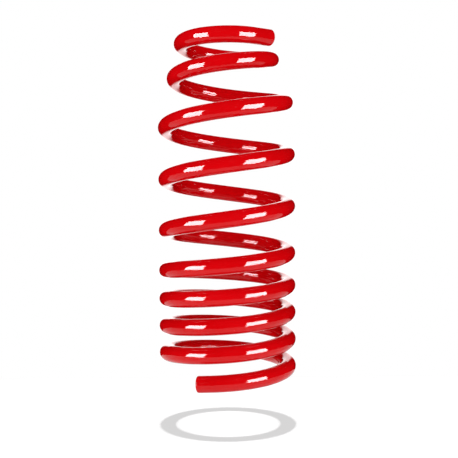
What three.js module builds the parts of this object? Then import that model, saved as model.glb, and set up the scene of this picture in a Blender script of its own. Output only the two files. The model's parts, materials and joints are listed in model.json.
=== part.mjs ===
// Progressive-rate coil spring for a car's rear suspension.
//
// One round bar is wound into a right-handed helix about Z. It is modelled as
// short arcs of bar, cut square across the wire at every quarter turn, so that
// each arc can turn against the next one as the loaded bar twists.
//
// Millimetres, +Z up. The origin is on the spring's axis, level with the lowest
// point of the bar, which is the underside of its tail.

import * as THREE from "three";

// The bar.
const WIRE_DIAMETER = 14.5;
const COIL_RADIUS = 54.25; // axis to wire centre, in the body coils
const PIGTAIL_RADIUS = 39.5; // axis to wire centre, in the end coil at the top

// The winding. Turns are counted from the tail and azimuths from +X.
const TAIL_AZIMUTH = THREE.MathUtils.degToRad(-117.6);
const TURNS = 9.251;

// The bar's two ends run straight on from the coil, outside these turns.
const BEND_START = 0.033;
const BEND_END = 9.182;

// Rise of the wire per turn in each stretch of the spring.
const CLOSE_PITCH = 24.2;
const MAIN_PITCH = 46.1;
const NECK_PITCH = 32.4;
const SEAT_PITCH = 0;

// Stretches of wire, in turns, over which the pitch changes.
const PITCH_CHANGES = [
  { start: 3.18, end: 5.41, from: CLOSE_PITCH, to: MAIN_PITCH },
  { start: 7.39, end: 8.05, from: MAIN_PITCH, to: NECK_PITCH },
  { start: 8.47, end: 9.18, from: NECK_PITCH, to: SEAT_PITCH },
];

// Stretch of wire, in turns, over which the coils draw in to the pigtail.
const TAPER_START = 7.0;
const TAPER_END = 8.55;

// The arcs. Each quarter turn is centred on one of the four sides, and the cuts
// leave a thin gap across the wire. A stub shorter than an eighth of a turn
// stays on the arc before it.
const SIDES = ["front", "right", "back", "left"];
const FIRST_CUT_AZIMUTH = THREE.MathUtils.degToRad(-45);
const ARC_TURNS = 1 / SIDES.length;
const SHORTEST_ARC_TURNS = ARC_TURNS / 2;
const CUT_GAP = 0.3;

// The name of each stretch of coils, and the last coil that it covers.
const COIL_NAMES = [
  { name: "tail_coil", lastCoil: 1 },
  { name: "close_coil", lastCoil: 4 },
  { name: "main_coil", lastCoil: 8 },
  { name: "neck_coil", lastCoil: 9 },
  { name: "pigtail_coil", lastCoil: 10 },
];

// Facets.
const SECTION_SIDES = 14;
const STEPS_PER_TURN = 28;

const PAINT = { color: 0xd40a12, roughness: 0.12, metalness: 0.0 };

/** Smooth 0 to 1 ramp over t = 0 to 1, held at its ends. */
function ramp(t) {
  const x = THREE.MathUtils.clamp(t, 0, 1);
  return x * x * (3 - 2 * x);
}

/** Integral of ramp(t) from 0 to t. */
function rampIntegral(t) {
  const x = THREE.MathUtils.clamp(t, 0, 1);
  return x ** 3 - x ** 4 / 2 + Math.max(t - 1, 0);
}

/** Rise of the wire's centre above its start in the tail, at a number of turns. */
function wireHeight(turns) {
  let height = CLOSE_PITCH * turns;
  for (const change of PITCH_CHANGES) {
    const length = change.end - change.start;
    height += (change.to - change.from) * length * rampIntegral((turns - change.start) / length);
  }
  return height;
}

/** Distance of the wire's centre from the axis, at a number of turns. */
function wireRadius(turns) {
  const drawnIn = ramp((turns - TAPER_START) / (TAPER_END - TAPER_START));
  const bentRadius = THREE.MathUtils.lerp(COIL_RADIUS, PIGTAIL_RADIUS, drawnIn);
  const turnsPastBend = Math.max(BEND_START - turns, turns - BEND_END, 0);
  return bentRadius / Math.cos(2 * Math.PI * turnsPastBend);
}

/** Centre line of the bar between two numbers of turns. */
class CoilCurve extends THREE.Curve {
  constructor(startTurns, endTurns) {
    super();
    this.startTurns = startTurns;
    this.endTurns = endTurns;
  }

  getPoint(t, target = new THREE.Vector3()) {
    const turns = THREE.MathUtils.lerp(this.startTurns, this.endTurns, t);
    const azimuth = TAIL_AZIMUTH + 2 * Math.PI * turns;
    const radius = wireRadius(turns);
    return target.set(radius * Math.cos(azimuth), radius * Math.sin(azimuth), wireHeight(turns));
  }
}

/** Numbers of turns at which the arcs begin and end, from the tail to the top. */
function cutPlaces() {
  const places = [0];
  let cut = (FIRST_CUT_AZIMUTH - TAIL_AZIMUTH) / (2 * Math.PI);
  while (TURNS - cut > SHORTEST_ARC_TURNS) {
    places.push(cut);
    cut += ARC_TURNS;
  }
  places.push(TURNS);
  return places;
}

/** Name of the arc with a given place in the bar, such as main_coil_5_back. */
function arcName(index) {
  const coil = Math.floor(index / SIDES.length) + 1;
  const stretch = COIL_NAMES.find((entry) => coil <= entry.lastCoil);
  return `${stretch.name}_${coil}_${SIDES[index % SIDES.length]}`;
}

/** Closed round bar between two places, shortened by half a gap at each cut. */
function arcGeometry(start, end) {
  const halfGap = CUT_GAP / 2 / (2 * Math.PI * wireRadius((start + end) / 2));
  const from = start === 0 ? start : start + halfGap;
  const to = end === TURNS ? end : end - halfGap;
  const section = new THREE.Shape();
  section.absarc(0, 0, WIRE_DIAMETER / 2, 0, 2 * Math.PI, false);
  return new THREE.ExtrudeGeometry(section, {
    extrudePath: new CoilCurve(from, to),
    steps: Math.round((to - from) * STEPS_PER_TURN),
    curveSegments: SECTION_SIDES / 2,
  });
}

const spring = new THREE.Group();
const places = cutPlaces();

for (let index = 0; index < places.length - 1; index += 1) {
  const paint = new THREE.MeshStandardMaterial(PAINT);
  const arc = new THREE.Mesh(arcGeometry(places[index], places[index + 1]), paint);
  arc.name = arcName(index);
  spring.add(arc);
}

// Half a wire lifts the tail's underside to the origin's level.
spring.position.z = WIRE_DIAMETER / 2;

export default spring;
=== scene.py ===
import json
import math
import bpy
import numpy as np
from mathutils import Matrix, Vector


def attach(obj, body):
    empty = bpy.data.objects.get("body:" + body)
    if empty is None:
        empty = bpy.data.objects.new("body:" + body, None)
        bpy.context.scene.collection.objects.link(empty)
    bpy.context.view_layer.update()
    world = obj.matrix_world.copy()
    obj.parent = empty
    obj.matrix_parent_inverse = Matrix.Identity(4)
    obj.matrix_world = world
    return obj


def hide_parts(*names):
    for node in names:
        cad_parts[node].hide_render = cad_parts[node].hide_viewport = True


# Looks of a progressive-rate coil spring: one round bar under gloss red powder coat.
#
# Metres, +Z up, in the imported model's frame. The spring's axis is Z, its tail is
# at the foot and its pigtail at the top. The bar is drawn here as fine arcs, one
# for each CAD node, which meet face to face so that no joint shows at rest.

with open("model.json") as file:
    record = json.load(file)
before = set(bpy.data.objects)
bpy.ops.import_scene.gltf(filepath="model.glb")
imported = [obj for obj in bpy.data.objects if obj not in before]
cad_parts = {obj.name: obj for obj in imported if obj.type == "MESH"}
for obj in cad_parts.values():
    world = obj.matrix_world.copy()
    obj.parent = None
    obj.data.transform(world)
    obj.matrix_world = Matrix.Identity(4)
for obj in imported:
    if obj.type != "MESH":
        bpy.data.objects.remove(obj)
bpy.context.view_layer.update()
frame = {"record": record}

# ---------------------------------------------------------------- the winding

WIRE_RADIUS = 0.00725
COIL_RADIUS = 0.05425  # axis to wire centre, in the body coils
PIGTAIL_RADIUS = 0.0395  # axis to wire centre, in the end coil at the top
TAIL_AZIMUTH = math.radians(-117.6)
TURNS = 9.251

# The bar's two ends run straight on from the coil, outside these turns.
BEND_START = 0.033
BEND_END = 9.182

# Rise of the wire per turn at the foot, and the stretches where it changes.
CLOSE_PITCH = 0.0242
MAIN_PITCH = 0.0461
NECK_PITCH = 0.0324
SEAT_PITCH = 0.0
PITCH_CHANGES = [
    (3.18, 5.41, MAIN_PITCH - CLOSE_PITCH),
    (7.39, 8.05, NECK_PITCH - MAIN_PITCH),
    (8.47, 9.18, SEAT_PITCH - NECK_PITCH),
]

# Stretch of wire, in turns, over which the coils draw in to the pigtail.
TAPER_START = 7.0
TAPER_END = 8.55

# The arcs: quarter turns, each centred on one of the four sides. A stub shorter
# than an eighth of a turn stays on the arc before it. Each stretch of coils has
# a name and a last coil.
SIDES = ("front", "right", "back", "left")
FIRST_CUT_AZIMUTH = math.radians(-45)
ARC_TURNS = 0.25
SHORTEST_ARC_TURNS = ARC_TURNS / 2
COIL_NAMES = [
    ("tail_coil", 1),
    ("close_coil", 4),
    ("main_coil", 8),
    ("neck_coil", 9),
    ("pigtail_coil", 10),
]

# Fineness of the drawn bar.
SECTION_SIDES = 56
STEPS_PER_TURN = 160

# The cut ends of the bar.
RIM_RADIUS = 0.0012
RIM_STEPS = 7
FACE_RINGS = 10
SHEAR_DEPTH = 0.00016  # how far the sheared face dips at its middle


def ramp(t):
    """Smooth 0 to 1 ramp over t = 0 to 1, held at its ends."""
    x = np.clip(t, 0, 1)
    return x * x * (3 - 2 * x)


def ramp_integral(t):
    """Integral of ramp(t) from 0 to t."""
    x = np.clip(t, 0, 1)
    return x**3 - x**4 / 2 + np.maximum(t - 1, 0)


def wire_height(turns):
    """Height of the wire's centre, at a number of turns from the tail."""
    height = WIRE_RADIUS + CLOSE_PITCH * turns
    for start, end, change in PITCH_CHANGES:
        length = end - start
        height = height + change * length * ramp_integral((turns - start) / length)
    return height


def wire_radius(turns):
    """Distance of the wire's centre from the axis, at a number of turns."""
    drawn_in = ramp((turns - TAPER_START) / (TAPER_END - TAPER_START))
    bent_radius = COIL_RADIUS + (PIGTAIL_RADIUS - COIL_RADIUS) * drawn_in
    past_bend = np.maximum(np.maximum(BEND_START - turns, turns - BEND_END), 0)
    return bent_radius / np.cos(2 * np.pi * past_bend)


def wire_centre(turns):
    """Points of the bar's centre line, one row for each number of turns."""
    azimuth = TAIL_AZIMUTH + 2 * np.pi * turns
    radius = wire_radius(turns)
    x = radius * np.cos(azimuth)
    y = radius * np.sin(azimuth)
    return np.stack([x, y, wire_height(turns)], axis=-1)


def unit(vectors):
    """The vectors, each scaled to length 1."""
    return vectors / np.linalg.norm(vectors, axis=-1, keepdims=True)


def wire_frame(turns):
    """Centre, direction along the wire, and two directions across it, at numbers of turns."""
    step = 1e-5
    centre = wire_centre(turns)
    along = unit(wire_centre(turns + step) - wire_centre(turns - step))
    azimuth = TAIL_AZIMUTH + 2 * np.pi * turns
    outward = np.stack([np.cos(azimuth), np.sin(azimuth), np.zeros_like(azimuth)], axis=-1)
    across = unit(outward - np.sum(outward * along, axis=-1, keepdims=True) * along)
    return centre, along, across, np.cross(along, across)


def cut_places():
    """Numbers of turns at which the arcs begin and end, from the tail to the top."""
    places = [0.0]
    cut = (FIRST_CUT_AZIMUTH - TAIL_AZIMUTH) / (2 * math.pi)
    while TURNS - cut > SHORTEST_ARC_TURNS:
        places.append(cut)
        cut += ARC_TURNS
    places.append(TURNS)
    return places


def arc_name(index):
    """Name of the CAD node with a given place in the bar, such as main_coil_5_back."""
    coil = index // len(SIDES) + 1
    stretch = next(name for name, last in COIL_NAMES if coil <= last)
    return f"{stretch}_{coil}_{SIDES[index % len(SIDES)]}"


# ------------------------------------------------------------------- the bar


class Bar:
    """Rings of points swept along the wire, with the true surface normal at each point."""

    def __init__(self):
        angles = 2 * np.pi * np.arange(SECTION_SIDES) / SECTION_SIDES
        self.cosines = np.cos(angles)[:, None]
        self.sines = np.sin(angles)[:, None]
        self.rings = []
        self.normals = []
        self.cut = []

    def add(self, centre, across, up, radius, along=None, tilt=0.0, cut=0.0):
        """Adds a ring. tilt turns its normals from straight out of the wire towards along.

        cut is the share of the sheared end's look that the ring has.
        """
        spoke = self.cosines * across + self.sines * up
        normal = spoke if along is None else math.cos(tilt) * spoke + math.sin(tilt) * along
        self.rings.append(centre + radius * spoke)
        self.normals.append(normal)
        self.cut.append(np.full(SECTION_SIDES, cut))

    def add_end(self, centre, out, across, up, closing):
        """Adds the rounded rim and the shallow dish of a sheared end.

        out points off the bar's end. closing is true where the bar stops.
        """
        rings = []
        for k in range(1, RIM_STEPS + 1):
            tilt = k / RIM_STEPS * math.pi / 2
            radius = WIRE_RADIUS - RIM_RADIUS * (1 - math.cos(tilt))
            depth = RIM_RADIUS * (1 - math.sin(tilt))
            rings.append((radius, depth, tilt, math.sin(tilt)))
        face_radius = WIRE_RADIUS - RIM_RADIUS
        for k in range(1, FACE_RINGS):
            share = 1 - k / FACE_RINGS
            depth = SHEAR_DEPTH * (1 - share**2)
            slope = 2 * SHEAR_DEPTH * share / face_radius
            rings.append((face_radius * share, depth, math.pi / 2 + math.atan(slope), 1.0))
        for radius, depth, tilt, cut in rings if closing else reversed(rings):
            self.add(centre - out * depth, across, up, radius, out, tilt, cut)


def arc_mesh(name, start, end):
    """Closed mesh of the bar between two places. The bar's own ends get a rounded rim."""
    bar = Bar()
    steps = max(2, round((end - start) * STEPS_PER_TURN))
    turns = np.linspace(start, end, steps + 1)
    is_tail = start == 0
    is_top = end == TURNS
    centre, along, across, up = wire_frame(turns)
    rim_start = RIM_RADIUS / (2 * math.pi * wire_radius(start))
    rim_end = RIM_RADIUS / (2 * math.pi * wire_radius(end))
    kept = [
        k
        for k, u in enumerate(turns)
        if not (is_tail and u < start + rim_start) and not (is_top and u > end - rim_end)
    ]
    if is_tail:
        bar.add_end(centre[0], -along[0], across[0], up[0], closing=False)
        bar.add(centre[0] + along[0] * RIM_RADIUS, across[0], up[0], WIRE_RADIUS)
    for k in kept:
        bar.add(centre[k], across[k], up[k], WIRE_RADIUS)
    if is_top:
        bar.add(centre[-1] - along[-1] * RIM_RADIUS, across[-1], up[-1], WIRE_RADIUS)
        bar.add_end(centre[-1], along[-1], across[-1], up[-1], closing=True)
    first_out, last_out = -along[0], along[-1]
    count = len(bar.rings)
    first_middle = centre[0] - first_out * SHEAR_DEPTH * is_tail
    last_middle = centre[-1] - last_out * SHEAR_DEPTH * is_top
    points = np.concatenate(bar.rings + [first_middle[None], last_middle[None]])
    normals = np.concatenate(bar.normals + [first_out[None], last_out[None]])
    sides = np.arange(SECTION_SIDES)
    following = (sides + 1) % SECTION_SIDES
    faces = []
    for ring in range(count - 1):
        low, high = ring * SECTION_SIDES, (ring + 1) * SECTION_SIDES
        quads = [low + sides, low + following, high + following, high + sides]
        faces += np.stack(quads, 1).tolist()
    top = (count - 1) * SECTION_SIDES
    first_hub = np.full(SECTION_SIDES, count * SECTION_SIDES)
    last_hub = first_hub + 1
    faces += np.stack([following, sides, first_hub], 1).tolist()
    faces += np.stack([top + sides, top + following, last_hub], 1).tolist()
    mesh = bpy.data.meshes.new(name)
    mesh.from_pydata(points.tolist(), [], faces)
    mesh.shade_smooth()
    cut = mesh.attributes.new("cut_end", "FLOAT", "POINT")
    shares = np.concatenate(bar.cut + [[is_tail], [is_top]])
    cut.data.foreach_set("value", shares.astype(np.float32))
    set_normals(mesh, normals, first_out, last_out)
    return mesh


def set_normals(mesh, normals, first_out, last_out):
    """Gives the wire its true normals. The two caps, which are the last faces, get flat ones."""
    corners = np.zeros(len(mesh.loops), np.int32)
    mesh.loops.foreach_get("vertex_index", corners)
    values = normals[corners]
    cap_corners = 3 * SECTION_SIDES
    values[-2 * cap_corners : -cap_corners] = first_out
    values[-cap_corners:] = last_out
    mesh.normals_split_custom_set(values.tolist())


# -------------------------------------------------------------- the material

THICK_COAT_RED = (0.54, 0.0008, 0.0022)
THIN_COAT_RED = (0.61, 0.0012, 0.0034)
NIB_RED = (0.74, 0.10, 0.11)
SHEARED_RED = (0.30, 0.0012, 0.0022)
COAT_IOR = 1.36

# Fineness of the coat's patterns.
DRIFT_SCALE = 22
MOTTLE_SCALE = 420
NIB_SCALE = 210
PATCH_SCALE = 31
GLOSS_SCALE = 48
PEEL_SCALE = 360
TEAR_SCALE = 900

# Roughness of the coat, from its glossiest to its dullest, and what a sheared end adds.
GLOSSIEST = 0.035
DULLEST = 0.065
SHEARED_ROUGHNESS = 0.13

# Heights of the coat's relief.
PEEL_HEIGHT = 0.0000016
NIB_HEIGHT = 0.000010
TEAR_HEIGHT = 0.00012


def socket_link(tree, source, target):
    """Joins an output socket to an input socket."""
    tree.links.new(source, target)


def noise(tree, coordinates, scale, detail, roughness=0.5):
    """A 3-D noise texture in the object's own metres. Returns its value socket."""
    node = tree.nodes.new("ShaderNodeTexNoise")
    node.inputs["Scale"].default_value = scale
    node.inputs["Detail"].default_value = detail
    node.inputs["Roughness"].default_value = roughness
    socket_link(tree, coordinates, node.inputs["Vector"])
    return node.outputs["Fac"]


def remap(tree, value, low, high, to_low, to_high):
    """The value moved from one range to another, held at its ends. Returns a socket."""
    node = tree.nodes.new("ShaderNodeMapRange")
    node.inputs["From Min"].default_value = low
    node.inputs["From Max"].default_value = high
    node.inputs["To Min"].default_value = to_low
    node.inputs["To Max"].default_value = to_high
    socket_link(tree, value, node.inputs["Value"])
    return node.outputs["Result"]


def combine(tree, operation, first, second):
    """Math on two sockets, or on a socket and a number. Returns a socket."""
    node = tree.nodes.new("ShaderNodeMath")
    node.operation = operation
    for slot, value in enumerate((first, second)):
        if isinstance(value, (int, float)):
            node.inputs[slot].default_value = value
        else:
            socket_link(tree, value, node.inputs[slot])
    return node.outputs[0]


def mix_colour(tree, share, first, second):
    """Colour between first and second, each a colour or a socket. Returns a socket."""
    node = tree.nodes.new("ShaderNodeMix")
    node.data_type = "RGBA"
    socket_link(tree, share, node.inputs["Factor"])
    for name, colour in (("A", first), ("B", second)):
        target = next(s for s in node.inputs if s.name == name and s.type == "RGBA")
        if isinstance(colour, tuple):
            target.default_value = (*colour, 1)
        else:
            socket_link(tree, colour, target)
    return next(s for s in node.outputs if s.type == "RGBA")


def powder_coat():
    """Gloss red powder coat: drifts of shade, orange peel, a few nibs, and duller sheared ends."""
    material = bpy.data.materials.new("powder_coat_red")
    material.use_nodes = True
    tree = material.node_tree
    shader = tree.nodes["Principled BSDF"]
    place = tree.nodes.new("ShaderNodeTexCoord").outputs["Object"]
    cut = tree.nodes.new("ShaderNodeAttribute")
    cut.attribute_name = "cut_end"
    cut_share = cut.outputs["Fac"]

    # Shade: thicker and thinner coat along the bar, and a fine mottle.
    drift = noise(tree, place, DRIFT_SCALE, 2)
    mottle = noise(tree, place, MOTTLE_SCALE, 3)
    drift = combine(tree, "MULTIPLY", drift, 0.75)
    mottle = combine(tree, "MULTIPLY", mottle, 0.25)
    shade = remap(tree, combine(tree, "ADD", drift, mottle), 0.35, 0.65, 0, 1)
    red = mix_colour(tree, shade, THICK_COAT_RED, THIN_COAT_RED)

    # Nibs: pinhead grains of powder under the gloss, in loose patches.
    cells = tree.nodes.new("ShaderNodeTexVoronoi")
    cells.inputs["Scale"].default_value = NIB_SCALE
    socket_link(tree, place, cells.inputs["Vector"])
    nib = remap(tree, cells.outputs["Distance"], 0.05, 0.11, 1, 0)
    patch = remap(tree, noise(tree, place, PATCH_SCALE, 1), 0.60, 0.68, 0, 1)
    nib = combine(tree, "MULTIPLY", nib, patch)
    red = mix_colour(tree, combine(tree, "MULTIPLY", nib, 0.5), red, NIB_RED)

    # Sheared ends: the coat is thin over the torn steel and looks darker.
    tear = noise(tree, place, TEAR_SCALE, 4, 0.6)
    dark = combine(tree, "MULTIPLY", cut_share, remap(tree, tear, 0.4, 0.62, 0.15, 0.7))
    red = mix_colour(tree, dark, red, SHEARED_RED)
    socket_link(tree, red, shader.inputs["Base Color"])

    # Gloss: wet-looking, with faint duller drifts.
    gloss = remap(tree, noise(tree, place, GLOSS_SCALE, 3), 0.35, 0.68, GLOSSIEST, DULLEST)
    torn_gloss = combine(tree, "MULTIPLY", cut_share, SHEARED_ROUGHNESS)
    gloss = combine(tree, "ADD", gloss, torn_gloss)
    socket_link(tree, gloss, shader.inputs["Roughness"])
    shader.inputs["IOR"].default_value = COAT_IOR

    # Relief: orange peel, nibs, and the tear marks of the ends.
    peel = combine(tree, "MULTIPLY", noise(tree, place, PEEL_SCALE, 1.5), PEEL_HEIGHT)
    grain = combine(tree, "MULTIPLY", nib, NIB_HEIGHT)
    torn = combine(tree, "MULTIPLY", combine(tree, "MULTIPLY", tear, cut_share), TEAR_HEIGHT)
    height = combine(tree, "ADD", combine(tree, "ADD", peel, grain), torn)
    bump = tree.nodes.new("ShaderNodeBump")
    bump.inputs["Distance"].default_value = 1.0
    bump.inputs["Strength"].default_value = 1.0
    socket_link(tree, height, bump.inputs["Height"])
    socket_link(tree, bump.outputs["Normal"], shader.inputs["Normal"])
    return material


# ------------------------------------------------------------------ the spring

COAT = powder_coat()
BODY_OF_NODE = {
    node: body for body, nodes in frame["record"]["behaviour"]["bodies"].items() for node in nodes
}
places = cut_places()
body_coils = []

for index in range(len(places) - 1):
    node = arc_name(index)
    name = f"{node}_coated"
    piece = bpy.data.objects.new(name, arc_mesh(name, places[index], places[index + 1]))
    piece.data.materials.append(COAT)
    bpy.context.scene.collection.objects.link(piece)
    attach(piece, BODY_OF_NODE[node])
    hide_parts(node)
    if places[index + 1] < TAPER_START:
        body_coils.append(piece)

# ------------------------------------------------------------------ the studio

FLOOR_DROP = 0.0386  # the floor lies this far under the spring, which hangs over its shadow
FLOOR_WIDTH = 1.6
FLOOR_FRONT = -0.35
FLOOR_BACK = 0.20
FLOOR_ALBEDO = 0.05

# What the light table gives of itself.
FLOOR_GLOW = 0.64  # to the eye, and all that is left of it in the shadow
FLOOR_EDGE_GLOW = 0.11  # to the eye, at its front and sides
FLOOR_GLOSS_GLOW = 0.42  # to the gloss of the spring
FLOOR_FILL_GLOW = 0.67  # to the soft light on the spring's underside
FLOOR_FRONT_FADE = (-0.33, -0.16)  # Y at which the fade starts and ends
FLOOR_SIDE_FADE = (0.30, 0.65)  # the same for the distance to either side

# The softboxes stand at the height of the camera.
SOFTBOX_DISTANCE = 1.5
SOFTBOX_HEIGHT = 1.34
SOFTBOX_LEVEL = 0.163
SOFTBOX_RADIANCE = 37
SOFTBOX_COLOUR = (1.0, 0.95, 0.985)

OVERHEAD_ENERGY = 28
OVERHEAD_ANGLE = math.radians(2.0)

# The bright sweep behind the spring, in parts of the direction that the gloss looks in.
SWEEP_RADIANCE = 2.1
SWEEP_SIDE_FADE = (0.20, 0.30)  # sideways over backwards
SWEEP_BACK_FADE = (0.50, 0.60)  # backwards
SWEEP_HEIGHT_FADE = (0.38, 0.52)  # up or down

# The broad soft light on the coat: its middle value, and what backwards and upwards add.
SOFT_LIGHT = 1.01
SOFT_BACKWARDS = -0.42
SOFT_UPWARDS = -0.08

# The room to the eye is white behind the spring, and grey to the sides and in front.
ROOM_GREY = 0.60
ROOM_FADE = (-0.1, 0.2)
ROOM_SIDE_SHARE = 0.3

FRONT = Vector((0, -1, 0))  # from the spring to the camera


def make_floor():
    """A plain light table. It ends close behind the spring, against a room as white as itself."""
    half = FLOOR_WIDTH / 2
    mesh = bpy.data.meshes.new("floor")
    corners = [
        (-half, FLOOR_FRONT),
        (half, FLOOR_FRONT),
        (half, FLOOR_BACK),
        (-half, FLOOR_BACK),
    ]
    mesh.from_pydata([(x, y, -FLOOR_DROP) for x, y in corners], [], [(0, 1, 2, 3)])
    floor = bpy.data.objects.new("floor", mesh)
    material = bpy.data.materials.new("light_table")
    material.use_nodes = True
    tree = material.node_tree
    shader = tree.nodes["Principled BSDF"]
    shader.inputs["Base Color"].default_value = (FLOOR_ALBEDO, FLOOR_ALBEDO, FLOOR_ALBEDO, 1)
    shader.inputs["Roughness"].default_value = 1.0
    shader.inputs["Specular IOR Level"].default_value = 0.0
    shader.inputs["Emission Color"].default_value = (1, 1, 1, 1)
    rays = tree.nodes.new("ShaderNodeLightPath").outputs

    # To the eye the table fades towards its front and sides, down to the grey of the room.
    parts = tree.nodes.new("ShaderNodeSeparateXYZ")
    socket_link(tree, tree.nodes.new("ShaderNodeTexCoord").outputs["Object"], parts.inputs[0])
    middle = remap(tree, parts.outputs["Y"], *FLOOR_FRONT_FADE, 0, 1)
    sideways = combine(tree, "ABSOLUTE", parts.outputs["X"], 0.0)
    inside = remap(tree, sideways, *FLOOR_SIDE_FADE, 1, 0)
    middle = combine(tree, "MULTIPLY", middle, inside)
    seen = remap(tree, middle, 0, 1, FLOOR_EDGE_GLOW, FLOOR_GLOW)
    glow = combine(tree, "MULTIPLY", rays["Is Camera Ray"], seen)
    gloss = combine(tree, "MULTIPLY", rays["Is Glossy Ray"], FLOOR_GLOSS_GLOW)
    fill = combine(tree, "MULTIPLY", rays["Is Diffuse Ray"], FLOOR_FILL_GLOW)
    glow = combine(tree, "ADD", glow, combine(tree, "ADD", gloss, fill))
    socket_link(tree, glow, shader.inputs["Emission Strength"])
    mesh.materials.append(material)
    bpy.context.scene.collection.objects.link(floor)
    return floor


def make_softbox(name, azimuth, width):
    """A tall softbox beside the camera, which shows only as a crisp window in the gloss."""
    light = bpy.data.lights.new(name, "AREA")
    light.shape = "RECTANGLE"
    light.color = SOFTBOX_COLOUR
    light.size = width
    light.size_y = SOFTBOX_HEIGHT
    light.energy = SOFTBOX_RADIANCE * math.pi * width * SOFTBOX_HEIGHT
    box = bpy.data.objects.new(name, light)
    target = Vector((0, 0, SOFTBOX_LEVEL))
    box.location = Matrix.Rotation(azimuth, 3, "Z") @ (FRONT * SOFTBOX_DISTANCE) + target
    towards = target - box.location
    box.rotation_mode = "QUATERNION"
    box.rotation_quaternion = towards.to_track_quat("-Z", "Y")
    box.visible_camera = False
    box.visible_diffuse = False
    bpy.context.scene.collection.objects.link(box)


def make_shadow_light(floor, casters):
    """A lamp straight overhead, for the floor alone. The body coils cast a ring of shadow."""
    light = bpy.data.lights.new("overhead", "SUN")
    light.energy = OVERHEAD_ENERGY
    light.angle = OVERHEAD_ANGLE
    lamp = bpy.data.objects.new("overhead", light)
    lamp.location = (0, 0, 2)
    bpy.context.scene.collection.objects.link(lamp)
    lit = bpy.data.collections.new("lit_by_overhead")
    lit.objects.link(floor)
    lamp.light_linking.receiver_collection = lit
    ring = bpy.data.collections.new("casts_ring")
    for piece in casters:
        ring.objects.link(piece)
    lamp.light_linking.blocker_collection = ring


def make_surroundings():
    """A pale room to the eye. Its gloss reflections are dark in front and bright behind."""
    world = bpy.data.worlds.new("studio")
    bpy.context.scene.world = world
    world.use_nodes = True
    tree = world.node_tree
    tree.nodes.clear()
    direction = tree.nodes.new("ShaderNodeTexCoord").outputs["Generated"]
    parts = tree.nodes.new("ShaderNodeSeparateXYZ")
    socket_link(tree, direction, parts.inputs[0])
    rays = tree.nodes.new("ShaderNodeLightPath").outputs

    # What the gloss sees: a narrow bright sweep straight behind the spring, and black all round.
    across = combine(tree, "ABSOLUTE", parts.outputs["X"], 0.0)
    sideways = combine(tree, "DIVIDE", across, parts.outputs["Y"])
    narrow = remap(tree, sideways, *SWEEP_SIDE_FADE, 1.0, 0.0)
    behind = remap(tree, parts.outputs["Y"], *SWEEP_BACK_FADE, 0.0, 1.0)
    low = combine(tree, "ABSOLUTE", parts.outputs["Z"], 0.0)
    low = remap(tree, low, *SWEEP_HEIGHT_FADE, 1.0, 0.0)
    window = combine(tree, "MULTIPLY", combine(tree, "MULTIPLY", behind, narrow), low)
    sweep = combine(tree, "MULTIPLY", window, SWEEP_RADIANCE)

    # What lights the coat: a soft light, much stronger from the front and a little from below.
    backwards = combine(tree, "MULTIPLY", parts.outputs["Y"], SOFT_BACKWARDS)
    upwards = combine(tree, "MULTIPLY", parts.outputs["Z"], SOFT_UPWARDS)
    soft = combine(tree, "ADD", combine(tree, "ADD", backwards, upwards), SOFT_LIGHT)

    # What the eye sees: white behind the spring, and pale grey to the sides and in front.
    aside = combine(tree, "MULTIPLY", across, ROOM_SIDE_SHARE)
    facing = combine(tree, "SUBTRACT", parts.outputs["Y"], aside)
    shown = remap(tree, facing, *ROOM_FADE, ROOM_GREY, 1.0)

    level = combine(tree, "MULTIPLY", rays["Is Glossy Ray"], sweep)
    level = combine(tree, "ADD", level, combine(tree, "MULTIPLY", rays["Is Diffuse Ray"], soft))
    level = combine(tree, "ADD", level, combine(tree, "MULTIPLY", rays["Is Camera Ray"], shown))
    background = tree.nodes.new("ShaderNodeBackground")
    background.inputs["Color"].default_value = (1, 1, 1, 1)
    socket_link(tree, level, background.inputs["Strength"])
    output = tree.nodes.new("ShaderNodeOutputWorld")
    socket_link(tree, background.outputs[0], output.inputs["Surface"])


make_surroundings()
make_shadow_light(make_floor(), body_coils)
make_softbox("softbox_left", math.radians(-55.3), 0.92)
make_softbox("softbox_right", math.radians(48), 0.97)

# ------------------------------------------------------------------ the camera

CAMERA_PLACE = Vector((0.0018, -0.7958, 0.1635))
CAMERA_PITCH = math.radians(1.86)  # looks down by this much
CAMERA_ROLL = math.radians(0.368)
LENS_MM = 69.5

forward = Vector((0, math.cos(CAMERA_PITCH), -math.sin(CAMERA_PITCH)))
level_up = Vector((0, math.sin(CAMERA_PITCH), math.cos(CAMERA_PITCH)))
level_right = Vector((1, 0, 0))
right = level_right * math.cos(CAMERA_ROLL) - level_up * math.sin(CAMERA_ROLL)
up = level_right * math.sin(CAMERA_ROLL) + level_up * math.cos(CAMERA_ROLL)
camera = bpy.data.objects.new("camera", bpy.data.cameras.new("camera"))
camera.data.lens = LENS_MM
camera.data.clip_start = 0.01
camera.data.clip_end = 50
turn = Matrix((right, up, -forward)).transposed().to_4x4()
camera.matrix_world = Matrix.Translation(CAMERA_PLACE) @ turn
bpy.context.scene.collection.objects.link(camera)
bpy.context.scene.camera = camera
bpy.context.scene.view_settings.view_transform = "Standard"
